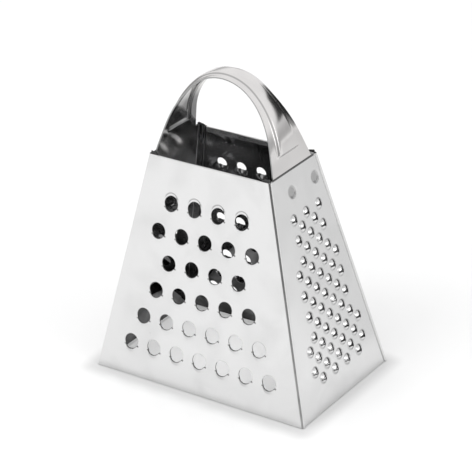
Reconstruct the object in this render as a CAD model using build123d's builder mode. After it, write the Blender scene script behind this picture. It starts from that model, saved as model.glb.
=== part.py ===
from build123d import *
import os
from math import asin, atan2, cos, degrees, floor, hypot, radians, sin

# Body: a four-sided tapered box of sheet steel, open at the top and at the bottom.
# The origin is the middle of the base, the coarse face looks along -Y and the fine face along +X.
body_height = 100.0
top_width = 60.7
top_depth = 35.6
base_width = 107.2
base_depth = 67.2
sheet = 0.4

# Corner seams: the front and back panels fold round flanges of the two side panels
bend_radius = 0.2
return_width = 1.6
flange_width = 4.2
flange_rise = 1.2
seam_clearance = 0.05
seam_land = 5.0

# Rolled top edge of the front and back panels
hem_height = 2.6
hem_end_gap = 4.8

# Every pattern starts a margin below the rim and ends this far above the base or higher
foot_margin = 12.0

# Coarse holes of the front panel, in staggered rows
coarse_hole = 6.8
coarse_pitch = 11.85
coarse_row_gap = 13.25
coarse_rim_margin = 19.35
coarse_margin = 13.0
coarse_lip = 1.5
coarse_dip = 0.6

# Medium holes of the back panel
medium_hole = 5.0
medium_pitch = 10.15
medium_row_gap = 9.95
medium_rim_margin = 17.25
medium_margin = 13.2
medium_lip = 1.2
medium_dip = 0.4

# Fine domes of the right panel, each pierced at its middle
fine_dome = 4.6
fine_dome_rise = 1.3
fine_hole = 1.0
fine_pitch = 9.31
fine_row_gap = 4.61
fine_rim_margin = 20.27
fine_margin = 10.0
fine_shift = 1.9

# Slicing slots of the left panel
slice_rim_margin = 32.67
slice_row_gap = 23.0
slice_margin = 12.0
slice_opening = 2.6
slice_blade = 6.0
slice_rise = 1.8

# Handle: one strap, bent to an arch, with a raised rib along its middle
strap_sheet = 0.6
handle_rise = 36.3
crown_radius = 21.0
crown_half_angle = 40.0
handle_shift = 1.0
leg_reach = 15.0
leg_width = 30.0
crown_width = 11.8
taper_start = 3.0
taper_end = 29.0
rib_rise = 1.0
rib_foot = 8.0
rib_width_share = 0.6

# Spot welds that hold the two legs of the handle to the side panels
weld_diameter = 3.6
weld_spacing = 17.2
weld_shift = 4.4
weld_drop = 8.9
weld_dish = 0.15
weld_clearance = 0.02

# Shape of a cutting lip, as shares of the radius of its hole
lip_radius_share = 1.15
lip_drop_share = 0.65
dip_radius_share = 0.94
dip_lift_share = 0.38

# How far cutting solids run past the metal that they trim
overrun = 8.0

# Leans and slant heights that follow from the body's sizes
width_lean = (base_width - top_width) / 2
depth_lean = (base_depth - top_depth) / 2
face_slant = hypot(body_height, depth_lean)
side_slant = hypot(body_height, width_lean)
hip_length = hypot(body_height, width_lean, depth_lean)

# The side panels lie one sheet inside the folds of the front and back panels
side_inset = sheet + seam_clearance
leg_inset = side_inset + sheet
face_bend_radius = bend_radius + side_inset

# Each panel is drawn flat on the slanted plane of its outer side:
# local X runs along the panel, local Y up the slope, local Z outwards
front_plane = Plane(
    origin=(0, -base_depth / 2, 0), x_dir=(1, 0, 0), z_dir=(0, -body_height, depth_lean)
)
back_plane = Plane(
    origin=(0, base_depth / 2, 0), x_dir=(-1, 0, 0), z_dir=(0, body_height, depth_lean)
)
right_plane = Plane(
    origin=(base_width / 2, 0, 0), x_dir=(0, 1, 0), z_dir=(body_height, 0, width_lean)
)
left_plane = Plane(
    origin=(-base_width / 2, 0, 0), x_dir=(0, -1, 0), z_dir=(-body_height, 0, width_lean)
)


def face_half_width(slant):
    """Half the width of the front or back panel at a distance up its slope."""
    return base_width / 2 - width_lean * slant / face_slant


def side_half_width(slant):
    """Half the width of a side panel at a distance up its slope."""
    return base_depth / 2 - depth_lean * slant / side_slant


def row_slants(top_row, row_gap):
    """Distances up the slope of a pattern's rows, from the top down to the foot margin."""
    rows = floor((top_row - foot_margin) / row_gap) + 1
    return [top_row - row * row_gap for row in range(rows)]


def staggered(top_row, row_gap, pitch, margin, half_width, first_is_odd):
    """Middles of a staggered pattern: each row holds as many as fit between the margins,
    and every second row is moved by half a pitch."""
    middles = []
    for row, slant in enumerate(row_slants(top_row, row_gap)):
        room = half_width(slant) - margin
        on_centre = (row % 2 == 0) == first_is_odd
        if on_centre:
            reach = floor(room / pitch)
            places = [step * pitch for step in range(-reach, reach + 1)]
        else:
            reach = floor(room / pitch + 1 / 2)
            places = [(step + 1 / 2) * pitch for step in range(-reach, reach)]
        middles += [(place, slant) for place in places]
    return middles


def corner_frame(width_side, depth_side):
    """Plane square to a corner edge of the body, with its X along the front or back panel,
    and the angle between the two panels there."""
    hip = Vector(-width_side * width_lean, -depth_side * depth_lean, body_height)
    face_normal = Vector(0, depth_side * body_height, depth_lean)
    side_normal = Vector(width_side * body_height, 0, width_lean)
    turn = width_side * depth_side
    along_face = hip.cross(face_normal) * turn
    along_side = side_normal.cross(hip) * turn
    corner = Vector(width_side * base_width / 2, depth_side * base_depth / 2, 0)
    plane = Plane(origin=corner, x_dir=along_face, z_dir=hip)
    return plane, radians(along_face.get_angle(along_side))


def fold_outline(inset, face_leg, side_leg, angle, turn):
    """Corners of an L-shaped sheet section, a distance inside the two outer planes."""
    along_face = Vector(1, 0)
    along_side = Vector(cos(angle), turn * sin(angle))
    into_face = Vector(0, turn)
    into_side = Vector(sin(angle), -turn * cos(angle))
    diagonal = (along_face + along_side) / sin(angle)
    return [
        along_face * face_leg + into_face * inset,
        diagonal * inset,
        along_side * side_leg + into_side * inset,
        along_side * side_leg + into_side * (inset + sheet),
        diagonal * (inset + sheet),
        along_face * face_leg + into_face * (inset + sheet),
    ]


def folded_corner(width_side, depth_side, inset, face_leg, side_leg, inner_radius):
    """One folded corner of a panel, run along the corner edge past both ends."""
    plane, angle = corner_frame(width_side, depth_side)
    outline = fold_outline(inset, face_leg, side_leg, angle, width_side * depth_side)
    with BuildSketch(plane.offset(-overrun)) as section:
        with BuildLine():
            Polyline(*outline, close=True)
        make_face()
        outer_corner = section.vertices().sort_by_distance(outline[1])[0]
        fillet(outer_corner, inner_radius + sheet)
        inner_corner = section.vertices().sort_by_distance(outline[4])[0]
        fillet(inner_corner, inner_radius)
    extrude(section.sketch, amount=hip_length + 2 * overrun)


def flat_sheet(plane, half_width, slant):
    """The flat middle of a panel, from edge to edge inside its folds and past both ends."""
    top = half_width(slant + overrun) - seam_land / 2
    foot = half_width(-overrun) - seam_land / 2
    with BuildSketch(plane) as outline:
        with BuildLine():
            Polyline(
                (-foot, -overrun), (foot, -overrun), (top, slant + overrun), (-top, slant + overrun),
                close=True,
            )
        make_face()
    extrude(outline.sketch, amount=-sheet)


def trim_between(height):
    """Cut the panel level at the base and at a height."""
    Box(
        base_width + overrun, base_depth + overrun, height,
        align=(Align.CENTER, Align.CENTER, Align.MIN), mode=Mode.INTERSECT,
    )


def spots(plane, middles, lift=0):
    """Places on a panel, each with its Z outwards."""
    return [plane.location * Location((across, up + lift, 0)) for across, up in middles]


def press_domes(plane, middles, radius, rise, outwards, lift=0):
    """Press a hollow round dome out of the sheet, or into it, at each place."""
    ball = (radius**2 + rise**2) / (2 * rise)
    hollow_ball = ball - sheet
    if outwards:
        turned = (0, 0, 0)
        dome_plane = plane.offset(rise - ball)
    else:
        turned = (180, 0, 0)
        dome_plane = plane.offset(ball - rise - sheet)
    with Locations(*spots(dome_plane, middles, lift)):
        Sphere(
            ball, rotation=turned, align=None,
            arc_size1=degrees(asin((ball - rise) / ball)),
        )
        Sphere(
            hollow_ball, rotation=turned, align=None, mode=Mode.SUBTRACT,
            arc_size1=degrees(asin((hollow_ball - rise) / hollow_ball)),
        )


def cutting_holes(plane, middles, diameter, lip, dip):
    """Round holes with a raised lip at the lower edge and a dip at the upper edge."""
    radius = diameter / 2
    lip_radius = radius * lip_radius_share
    lip_drop = radius * lip_drop_share
    lip_crown = lip / (1 - ((radius - lip_drop) / lip_radius) ** 2)
    press_domes(plane, middles, lip_radius, lip_crown, True, -lip_drop)
    dip_radius = radius * dip_radius_share
    dip_lift = radius * dip_lift_share
    dip_crown = dip / (1 - ((radius - dip_lift) / dip_radius) ** 2)
    press_domes(plane, middles, dip_radius, dip_crown, False, dip_lift)
    with Locations(*spots(plane, middles)):
        Cylinder(radius, 2 * overrun, mode=Mode.SUBTRACT)


def rolled_edge(plane):
    """Fold the top edge of a face panel flat against its inner side."""
    half_length = top_width / 2 - hem_end_gap
    start = plane.from_local_coords((-half_length, 0, 0))
    across = Plane(origin=start, x_dir=plane.y_dir, z_dir=plane.x_dir)
    fold_slant = face_slant - sheet
    with BuildSketch(across) as notch:
        with BuildLine():
            Polyline(
                (fold_slant, sheet), (face_slant + overrun, sheet),
                (face_slant + overrun, -2 * sheet), (fold_slant, -2 * sheet),
                close=True,
            )
        make_face()
    extrude(notch.sketch, amount=2 * half_length, mode=Mode.SUBTRACT)
    with BuildSketch(across) as fold:
        with BuildLine():
            Polyline(
                (fold_slant, 0), (fold_slant, -2 * sheet),
                (face_slant - hem_height, -2 * sheet), (face_slant - hem_height, -sheet),
                (fold_slant - sheet, -sheet), (fold_slant - sheet, 0),
                close=True,
            )
        make_face()
        with Locations((fold_slant, -sheet)):
            Circle(sheet)
    extrude(fold.sketch, amount=2 * half_length)


def face_panel(plane, depth_side):
    """Front or back panel: flat sheet, a fold round each corner and a rolled top edge."""
    flat_sheet(plane, face_half_width, face_slant)
    for width_side in (1, -1):
        folded_corner(
            width_side, depth_side, 0, seam_land, return_width, face_bend_radius
        )
    trim_between(body_height)
    rolled_edge(plane)


def side_panel(plane, width_side):
    """Right or left panel: flat sheet, with a flange inside the face panel at each corner
    that stands a little above the top edge."""
    flat_sheet(plane, side_half_width, side_slant)
    for depth_side in (1, -1):
        folded_corner(
            width_side, depth_side, side_inset, flange_width, seam_land, bend_radius
        )
    trim_between(body_height + flange_rise)
    with Locations((width_side * top_width / 2, 0, body_height)):
        Box(
            2 * flange_width + overrun, top_depth - 2 * leg_inset, flange_rise,
            align=(Align.CENTER, Align.CENTER, Align.MIN), mode=Mode.SUBTRACT,
        )


def weld_spots(width_side):
    """Places of the two welds of a leg, on the outer plane of that side."""
    plane = right_plane if width_side > 0 else left_plane
    middles = [
        (width_side * (weld_shift + end * weld_spacing / 2), side_slant - weld_drop)
        for end in (1, -1)
    ]
    return spots(plane, middles)


# Front panel: coarse grating
with BuildPart() as front_panel:
    face_panel(front_plane, -1)
    coarse_middles = staggered(
        face_slant - coarse_rim_margin, coarse_row_gap, coarse_pitch, coarse_margin,
        face_half_width, first_is_odd=False,
    )
    cutting_holes(front_plane, coarse_middles, coarse_hole, coarse_lip, coarse_dip)

# Back panel: medium grating
with BuildPart() as back_panel:
    face_panel(back_plane, 1)
    medium_middles = staggered(
        face_slant - medium_rim_margin, medium_row_gap, medium_pitch, medium_margin,
        face_half_width, first_is_odd=True,
    )
    cutting_holes(back_plane, medium_middles, medium_hole, medium_lip, medium_dip)

# Right panel: fine grating, with weld holes for the handle
with BuildPart() as right_panel:
    right_sheet = right_plane.offset(-side_inset)
    side_panel(right_sheet, 1)
    fine_middles = [
        (across + fine_shift, up)
        for across, up in staggered(
            side_slant - fine_rim_margin, fine_row_gap, fine_pitch, fine_margin,
            side_half_width, first_is_odd=True,
        )
    ]
    press_domes(right_sheet, fine_middles, fine_dome / 2, fine_dome_rise, True)
    with Locations(*spots(right_sheet, fine_middles)):
        Cylinder(fine_hole / 2, 2 * overrun, mode=Mode.SUBTRACT)
    with Locations(*weld_spots(1)):
        Cylinder(weld_diameter / 2, 2 * overrun, mode=Mode.SUBTRACT)

# Left panel: slicing blades over long slots, with weld holes for the handle
with BuildPart() as left_panel:
    left_sheet = left_plane.offset(-side_inset)
    side_panel(left_sheet, -1)
    for edge in row_slants(side_slant - slice_rim_margin, slice_row_gap):
        half_length = side_half_width(edge) - slice_margin
        start = left_sheet.from_local_coords((-half_length, edge, 0))
        across = Plane(origin=start, x_dir=left_sheet.y_dir, z_dir=left_sheet.x_dir)
        with BuildSketch(across):
            with BuildLine():
                Polyline(
                    (-slice_blade, 0), (0, slice_rise), (0, -sheet), (-slice_blade, -sheet),
                    close=True,
                )
            make_face()
        extrude(amount=2 * half_length)
        with BuildSketch(across.offset(sheet)):
            with BuildLine():
                Polyline((-slice_blade, -sheet), (0, slice_rise - sheet), (0, -sheet), close=True)
            make_face()
        extrude(amount=2 * (half_length - sheet), mode=Mode.SUBTRACT)
        with BuildSketch(across.offset(sheet)):
            with Locations((slice_opening / 2, 0)):
                Rectangle(slice_opening, 2 * overrun)
        extrude(amount=2 * (half_length - sheet), mode=Mode.SUBTRACT)
    with Locations(*weld_spots(-1)):
        Cylinder(weld_diameter / 2, 2 * overrun, mode=Mode.SUBTRACT)

# Handle: the outer side of the arch is a crown arc, a flatter shoulder arc on each side
# and two straight legs that lie against the inner sides of the side panels
lean = atan2(width_lean, body_height)
leg_normal = Vector(cos(lean), sin(lean))
leg_down = Vector(sin(lean), -cos(lean))
leg_distance = base_width / 2 * cos(lean) - leg_inset
leg_foot_height = body_height - leg_reach
crown_angle = radians(crown_half_angle)
crown_ray = Vector(sin(crown_angle), cos(crown_angle))
crown_top = body_height + handle_rise
crown_centre = Vector(0, crown_top - crown_radius)
crown_end = crown_centre + crown_ray * crown_radius
shoulder_radius = (leg_distance - leg_normal.dot(crown_end)) / (1 - leg_normal.dot(crown_ray))
shoulder_centre = crown_end - crown_ray * shoulder_radius
shoulder_end = shoulder_centre + leg_normal * shoulder_radius
shoulder_turn = 90 - degrees(lean) - crown_half_angle
leg_length = (shoulder_end.Y - leg_foot_height + overrun) / cos(lean)


def strap(near_depth, far_depth, width_at_leg, width_at_crown, foot_height):
    """A strap along the arch, between two depths inside its outer side, which narrows
    from its legs to its crown."""
    with BuildSketch(Plane.XZ) as arch:
        with BuildLine():
            leg_ends = []
            for depth in (near_depth, far_depth):
                leg_top = shoulder_end - leg_normal * depth
                leg_end = leg_top + leg_down * leg_length
                leg_ends.append(leg_end)
                Line(leg_end, leg_top)
                CenterArc(shoulder_centre, shoulder_radius - depth, degrees(lean), shoulder_turn)
                CenterArc(
                    crown_centre, crown_radius - depth,
                    90 - crown_half_angle, 2 * crown_half_angle,
                )
                CenterArc(
                    (-shoulder_centre.X, shoulder_centre.Y), shoulder_radius - depth,
                    90 + crown_half_angle, shoulder_turn,
                )
                Line((-leg_top.X, leg_top.Y), (-leg_end.X, leg_end.Y))
            Line(*leg_ends)
            Line(*[(-end.X, end.Y) for end in leg_ends])
        make_face()
    extrude(arch.sketch, amount=leg_width, both=True)
    taper_foot = body_height - taper_start
    taper_top = body_height + taper_end
    with BuildSketch(Plane.YZ.offset(-base_width / 2)) as outline:
        with Locations((handle_shift, 0)):
            with BuildLine():
                Polyline(
                    (-width_at_leg / 2, leg_foot_height - overrun),
                    (-width_at_leg / 2, taper_foot),
                    (-width_at_crown / 2, taper_top),
                    (-width_at_crown / 2, crown_top + overrun),
                    (width_at_crown / 2, crown_top + overrun),
                    (width_at_crown / 2, taper_top),
                    (width_at_leg / 2, taper_foot),
                    (width_at_leg / 2, leg_foot_height - overrun),
                    close=True,
                )
            make_face()
    extrude(outline.sketch, amount=base_width, mode=Mode.INTERSECT)
    split(bisect_by=Plane.XY.offset(foot_height), keep=Keep.TOP)


rib_at_leg = rib_width_share * leg_width
rib_at_crown = rib_width_share * crown_width
rib_foot_height = body_height + rib_foot

with BuildPart() as rib:
    strap(-rib_rise, 0, rib_at_leg, rib_at_crown, rib_foot_height)

with BuildPart() as rib_hollow:
    strap(
        strap_sheet - rib_rise, 2 * strap_sheet,
        rib_at_leg - 2 * strap_sheet, rib_at_crown - 2 * strap_sheet, rib_foot_height + strap_sheet,
    )

with BuildPart() as handle:
    strap(0, strap_sheet, leg_width, crown_width, leg_foot_height)
    add(rib.part)
    add(rib_hollow.part, mode=Mode.SUBTRACT)
    with Locations(*weld_spots(1), *weld_spots(-1)):
        Cylinder(weld_diameter / 2, 2 * (leg_inset + strap_sheet) + overrun, mode=Mode.SUBTRACT)

# Spot welds: four nuggets, each a little dished on both faces
with BuildPart() as spot_welds:
    weld_outer = -(side_inset + weld_dish)
    weld_inner = -(leg_inset + strap_sheet - weld_dish)
    for side, side_plane in ((1, right_plane), (-1, left_plane)):
        with Locations(*weld_spots(side)):
            with Locations((0, 0, weld_outer)):
                Cylinder(
                    weld_diameter / 2 - weld_clearance, weld_outer - weld_inner,
                    align=(Align.CENTER, Align.CENTER, Align.MAX),
                )

pieces = {
    "front_panel": front_panel,
    "back_panel": back_panel,
    "right_panel": right_panel,
    "left_panel": left_panel,
    "handle": handle,
    "spot_welds": spot_welds,
}
os.makedirs("parts", exist_ok=True)
for name, piece in pieces.items():
    piece.part.label = name
    export_step(piece.part, f"parts/{name}.step")
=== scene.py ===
# %% [markdown]
# # A box grater in sheet steel
# The real grater is four thin steel panels that lean together into a tapered box, with a bent
# strap for a handle. Almost all of its character is in what a press did to flat sheet:
# holes with raised lips, pierced domes, folded corners and a rolled top edge.
# We load the measured frame first, because every piece below has to sit exactly on it.

# %% Load the frame
from math import atan2, cos, floor, hypot, pi, radians, sin, sqrt, tan

import bmesh
import bpy
from mathutils import Matrix, Vector, geometry


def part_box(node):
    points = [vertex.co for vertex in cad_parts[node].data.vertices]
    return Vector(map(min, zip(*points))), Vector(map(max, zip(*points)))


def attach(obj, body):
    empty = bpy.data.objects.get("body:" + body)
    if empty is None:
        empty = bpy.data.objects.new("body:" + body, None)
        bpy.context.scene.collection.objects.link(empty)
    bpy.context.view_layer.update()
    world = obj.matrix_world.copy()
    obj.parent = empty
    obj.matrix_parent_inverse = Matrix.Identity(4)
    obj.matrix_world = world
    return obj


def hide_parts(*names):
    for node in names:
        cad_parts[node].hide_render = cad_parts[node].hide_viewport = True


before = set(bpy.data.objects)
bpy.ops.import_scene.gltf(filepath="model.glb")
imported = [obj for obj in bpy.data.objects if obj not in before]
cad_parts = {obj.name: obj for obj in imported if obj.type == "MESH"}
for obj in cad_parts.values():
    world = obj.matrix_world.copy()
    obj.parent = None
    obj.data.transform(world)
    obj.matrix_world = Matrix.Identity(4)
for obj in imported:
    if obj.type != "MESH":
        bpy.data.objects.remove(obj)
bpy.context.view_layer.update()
print("nodes:", sorted(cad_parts))

# %% [markdown]
# ## The sizes that drive everything
# A drawing of sheet metal needs few numbers: the outline of the box, the thickness of the sheet
# and the spacing of each pattern. The outline comes from the frame where the frame has it.
# Lengths are written in millimetres and scaled once, since that is how such a part is drawn.

# %% Driving sizes, in metres
mm = 0.001
face_low, face_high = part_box("front_panel")
side_low, side_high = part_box("right_panel")
strap_low, strap_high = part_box("handle")
base_width = face_high[0] - face_low[0]
base_depth = -2 * face_low[1]
body_height = face_high[2]
top_width = 60.7 * mm
top_depth = 35.6 * mm
sheet = 0.4 * mm
seam_clearance = 0.05 * mm
bend_radius = 0.2 * mm
return_width = 1.6 * mm
flange_width = 4.2 * mm
flange_rise = side_high[2] - body_height
hem_height = 2.6 * mm
hem_end_gap = 4.8 * mm
foot_margin = 12.0 * mm
flat_band = 0.35 * mm

width_lean = (base_width - top_width) / 2
depth_lean = (base_depth - top_depth) / 2
face_slant = hypot(body_height, depth_lean)
side_slant = hypot(body_height, width_lean)
side_inset = sheet + seam_clearance
leg_inset = side_inset + sheet
print("base", round(base_width / mm, 1), "x", round(base_depth / mm, 1), "mm")

# %% [markdown]
# ## Steel
# Bright rolled sheet is a mirror with a history: the rolls leave faint grain along the sheet, the
# press and hands leave soft smudges. Neither changes the colour much, both change how sharply the
# surface mirrors its surroundings. Each effect is a small node group, so that every steel in the
# scene can use it with its own strength.

# %% Helpers for node trees
def feed(tree, target, source):
    """Link a socket to a source socket, or set it to a plain value."""
    if isinstance(source, bpy.types.NodeSocket):
        tree.links.new(source, target)
    else:
        target.default_value = source


def node(tree, kind, inputs=None, **settings):
    """Add a node; inputs maps its sockets, by name or number, to other sockets or values."""
    made = tree.nodes.new(kind)
    for name, value in settings.items():
        setattr(made, name, value)
    for name, source in (inputs or {}).items():
        feed(tree, made.inputs[name], source)
    return made


def math_node(tree, operation, *values):
    return node(tree, "ShaderNodeMath", dict(enumerate(values)), operation=operation).outputs[0]


def noise(tree, vector, scale, detail, distortion=0.0):
    inputs = {"Vector": vector, "Scale": scale, "Detail": detail, "Distortion": distortion}
    return node(tree, "ShaderNodeTexNoise", inputs).outputs["Fac"]


def ramp(tree, value, low, high, interpolation="LINEAR"):
    """0 at low and 1 at high, and level beyond them."""
    inputs = {"Value": value, "From Min": low, "From Max": high}
    made = node(tree, "ShaderNodeMapRange", inputs, interpolation_type=interpolation)
    return made.outputs["Result"]


def mix(tree, share, first, second):
    """A colour between the first and the second."""
    inputs = {"Factor": share, "A": first, "B": second}
    return node(tree, "ShaderNodeMix", inputs, data_type="RGBA").outputs["Result"]


def new_group(name, inputs, outputs):
    """inputs maps names to numbers, or to None for a vector; every output is a number."""
    group = bpy.data.node_groups.new(name, "ShaderNodeTree")
    for label, value in inputs.items():
        kind = "NodeSocketVector" if value is None else "NodeSocketFloat"
        socket = group.interface.new_socket(label, in_out="INPUT", socket_type=kind)
        if value is not None:
            socket.default_value = value
    for label in outputs:
        group.interface.new_socket(label, in_out="OUTPUT", socket_type="NodeSocketFloat")
    return group, node(group, "NodeGroupInput").outputs


print("node helpers ready")

# %% Rolled grain: faint streaks along the sheet
grain_stretch = 0.04


def make_grain_group():
    group, given = new_group(
        "rolled_grain", {"Vector": None, "Strength": 1.0}, ["Roughness shift", "Height"]
    )
    stretch = {"Vector": given["Vector"], "Scale": (1.0, 1.0, grain_stretch)}
    along = node(group, "ShaderNodeMapping", stretch).outputs[0]
    fine = noise(group, along, scale=9000.0, detail=2.0)
    broad = noise(group, along, scale=1500.0, detail=3.0)
    both = math_node(group, "MULTIPLY_ADD", fine, 0.5, broad)
    centred = math_node(group, "SUBTRACT", both, 0.75)
    scaled = math_node(group, "MULTIPLY", centred, given["Strength"])
    node(group, "NodeGroupOutput", {"Roughness shift": scaled, "Height": scaled})
    return group


grain_group = make_grain_group()
print("surface effect:", grain_group.name)

# %% Smudges: soft patches where hands and the press have dulled the surface
def make_smudge_group():
    group, given = new_group(
        "handling_smudges", {"Vector": None, "Size": 40.0, "Strength": 1.0},
        ["Mask", "Roughness shift"],
    )
    patches = noise(group, given["Vector"], given["Size"], detail=4.0, distortion=0.6)
    mask = ramp(group, patches, low=0.45, high=0.75)
    shift = math_node(group, "MULTIPLY", mask, given["Strength"])
    node(group, "NodeGroupOutput", {"Mask": mask, "Roughness shift": shift})
    return group


smudge_group = make_smudge_group()
print("surface effect:", smudge_group.name)

# %% Press marks and painted light: where the tool has worked the sheet its sheen is duller, and the same marks carry painted shade outside and a painted highlight inside
press_dulling = 0.08


def make_dulling_and_painted_light_group():
    group, given = new_group("press_marks", {"Strength": 1.0}, ["Mask", "Roughness shift"])
    worked = node(group, "ShaderNodeAttribute", attribute_name="worked").outputs["Fac"]
    mask = math_node(group, "MULTIPLY", worked, given["Strength"])
    shift = math_node(group, "MULTIPLY", mask, press_dulling)
    node(group, "NodeGroupOutput", {"Mask": mask, "Roughness shift": shift})
    return group


dulling_and_painted_light_group = make_dulling_and_painted_light_group()
print("press marks read the attribute: worked")

# %% One recipe, several steels
smudged_share = 0.92
sharpest = 0.04
relief_strength = 0.25
relief_depth = 0.02 * mm


def rgba(colour):
    """A grey level or three channels, as a colour without transparency."""
    channels = colour if isinstance(colour, tuple) else (colour,) * 3
    return (*channels, 1.0)


def steel(name, colour, roughness, grain, smudges, smudge_size, worked, metallic=1.0,
          painted_foot_shade=None, painted_foot_shade_heights=(0.0, 0.1)):
    """Sheet steel: grain, smudges and press marks move its roughness and its colour a little.

    worked is the colour where the press marks are full, painted shade or a
    painted highlight, and painted_foot_shade the colour below the foot band: painted shade by
    height.
    """
    material = bpy.data.materials.new(name)
    material.use_nodes = True
    tree = material.node_tree
    tree.nodes.clear()
    place = node(tree, "ShaderNodeTexCoord").outputs["Object"]
    grain_marks, smudge_marks, press_marks = [
        node(tree, "ShaderNodeGroup", inputs, node_tree=group).outputs
        for group, inputs in (
            (grain_group, {"Vector": place, "Strength": grain}),
            (smudge_group, {"Vector": place, "Size": smudge_size, "Strength": smudges}),
            (dulling_and_painted_light_group, {"Strength": 1.0}),
        )
    ]
    rough = roughness
    for marks in (grain_marks, smudge_marks, press_marks):
        rough = math_node(tree, "ADD", rough, marks["Roughness shift"])
    rough = math_node(tree, "MAXIMUM", rough, sharpest)
    height = node(tree, "ShaderNodeSeparateXYZ", {0: place}).outputs["Z"]
    height_shaded = mix(tree, ramp(tree, height, *painted_foot_shade_heights), rgba(painted_foot_shade or colour), rgba(colour))
    smudged = tuple(channel * smudged_share for channel in rgba(colour)[:3])
    handled = mix(tree, smudge_marks["Mask"], height_shaded, rgba(smudged))
    relief = {
        "Strength": relief_strength, "Distance": relief_depth, "Height": grain_marks["Height"],
    }
    shader = node(tree, "ShaderNodeBsdfPrincipled", {
        "Base Color": mix(tree, press_marks["Mask"], handled, rgba(worked)),
        "Metallic": metallic,
        "Roughness": rough,
        "Normal": node(tree, "ShaderNodeBump", relief).outputs["Normal"],
    })
    node(tree, "ShaderNodeOutputMaterial", {"Surface": shader.outputs[0]})
    return material


# Outside, full marks are painted near black: painted shade at slits, dent edges, hole rims and the
# domes' stars.
panel_steel = steel(
    "panel_steel", 0.75, roughness=0.20, grain=0.10, smudges=0.05, smudge_size=55.0, worked=0.07
)
# The sheet's inner side: painted shade, much darker than the outside and near black at the foot,
# with lighter marks as painted highlights.
inside_steel = steel(
    "inside_steel", (0.28, 0.28, 0.283), roughness=0.05, grain=0.02, smudges=0.02,
    smudge_size=70.0, worked=0.6, metallic=0.99, painted_foot_shade=0.045, painted_foot_shade_heights=(0.03, 0.07),
)
# The strap's inner side: painted shade, dark on the legs below the foot band.
strap_inside_steel = steel(
    "strap_inside_steel", (0.68, 0.67, 0.66), roughness=0.10, grain=0.05, smudges=0.06,
    smudge_size=70.0, worked=0.6, painted_foot_shade=0.17, painted_foot_shade_heights=(0.118, 0.125),
)
handle_steel = steel(
    "handle_steel", (0.75, 0.735, 0.73), roughness=0.12, grain=0.05, smudges=0.04,
    smudge_size=60.0, worked=0.25,
)
# A dark line of painted shade on the seen bend and under the side panels' rim, paler at the foot.
seam_steel = steel(
    "seam_steel", 0.17, roughness=0.22, grain=0.10, smudges=0.05, smudge_size=90.0, worked=0.1,
    painted_foot_shade=0.36,
)
# Cut edges and flange tips: painted near black, as shade.
edge_steel = steel(
    "edge_steel", 0.06, roughness=0.45, grain=0.20, smudges=0.10, smudge_size=90.0, worked=0.05,
    metallic=0.7,
)
# The strap's cut edges: painted darker, as the shade along them.
strap_edge_steel = steel(
    "strap_edge_steel", 0.36, roughness=0.3, grain=0.10, smudges=0.05, smudge_size=90.0,
    worked=0.3,
)
weld_steel = steel(
    "weld_steel", 0.46, roughness=0.4, grain=0.02, smudges=0.02, smudge_size=100.0, worked=0.4
)
print("steels:", [item.name for item in bpy.data.materials if item.name.endswith("steel")])

# %% [markdown]
# ## Slanted planes
# Each panel is easiest to draw lying flat and to stand up afterwards. A matrix for each panel
# turns flat drawings (X along the panel, Y up its slope, Z outwards) into places on the body.

# %% The four planes
def slanted_plane(origin, across, outwards):
    across = Vector(across).normalized()
    outwards = Vector(outwards).normalized()
    up = outwards.cross(across)
    turned = Matrix((across, up, outwards)).transposed().to_4x4()
    return Matrix.Translation(Vector(origin)) @ turned


front_plane = slanted_plane((0, -base_depth / 2, 0), (1, 0, 0), (0, -body_height, depth_lean))
back_plane = slanted_plane((0, base_depth / 2, 0), (-1, 0, 0), (0, body_height, depth_lean))
right_plane = slanted_plane((base_width / 2, 0, 0), (0, 1, 0), (body_height, 0, width_lean))
left_plane = slanted_plane((-base_width / 2, 0, 0), (0, -1, 0), (-body_height, 0, width_lean))
right_sheet = right_plane @ Matrix.Translation((0, 0, -side_inset))
left_sheet = left_plane @ Matrix.Translation((0, 0, -side_inset))


def face_half_width(slant):
    return base_width / 2 - width_lean * slant / face_slant


def side_half_width(slant):
    return base_depth / 2 - depth_lean * slant / side_slant


print("slant heights", round(face_slant / mm, 2), round(side_slant / mm, 2))

# %% [markdown]
# ## Staggered patterns
# A press tool punches rows of holes, each row moved by half a pitch, with as many in a row as the
# tapering panel has room for. So the patterns follow one rule, and nobody has to place a hole.

# %% Middles of a staggered pattern
def row_slants(top_row, row_gap):
    rows = floor((top_row - foot_margin) / row_gap) + 1
    return [top_row - row * row_gap for row in range(rows)]


def staggered(top_row, row_gap, pitch, margin, half_width, first_is_odd, shift=0.0):
    """Rows with an odd and an even number of holes take turns down the panel."""
    middles = []
    for row, slant in enumerate(row_slants(top_row, row_gap)):
        odd = (row % 2 == 0) == first_is_odd
        offset = 0 if odd else 1 / 2
        reach = floor((half_width(slant) - margin) / pitch + offset)
        steps = range(-reach, reach + (1 if odd else 0))
        middles += [((step + offset) * pitch + shift, slant) for step in steps]
    return middles


coarse_middles = staggered(
    face_slant - 19.35 * mm, row_gap=13.25 * mm, pitch=11.85 * mm, margin=13.0 * mm,
    half_width=face_half_width, first_is_odd=False,
)
medium_middles = staggered(
    face_slant - 17.25 * mm, row_gap=9.95 * mm, pitch=10.15 * mm, margin=13.2 * mm,
    half_width=face_half_width, first_is_odd=True,
)
fine_middles = staggered(
    side_slant - 20.27 * mm, row_gap=4.61 * mm, pitch=9.31 * mm, margin=10.0 * mm,
    half_width=side_half_width, first_is_odd=True, shift=1.9 * mm,
)
print("coarse", len(coarse_middles), "medium", len(medium_middles), "fine", len(fine_middles))

# %% [markdown]
# ## Stamps
# What the punch does around one hole is a small round patch of bent sheet. We make each patch
# once, as rings of points whose height follows a formula, with a flat outer ring so that it joins
# the flat sheet without a shading seam. Repeating the patch is Geometry Nodes' job.

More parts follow.
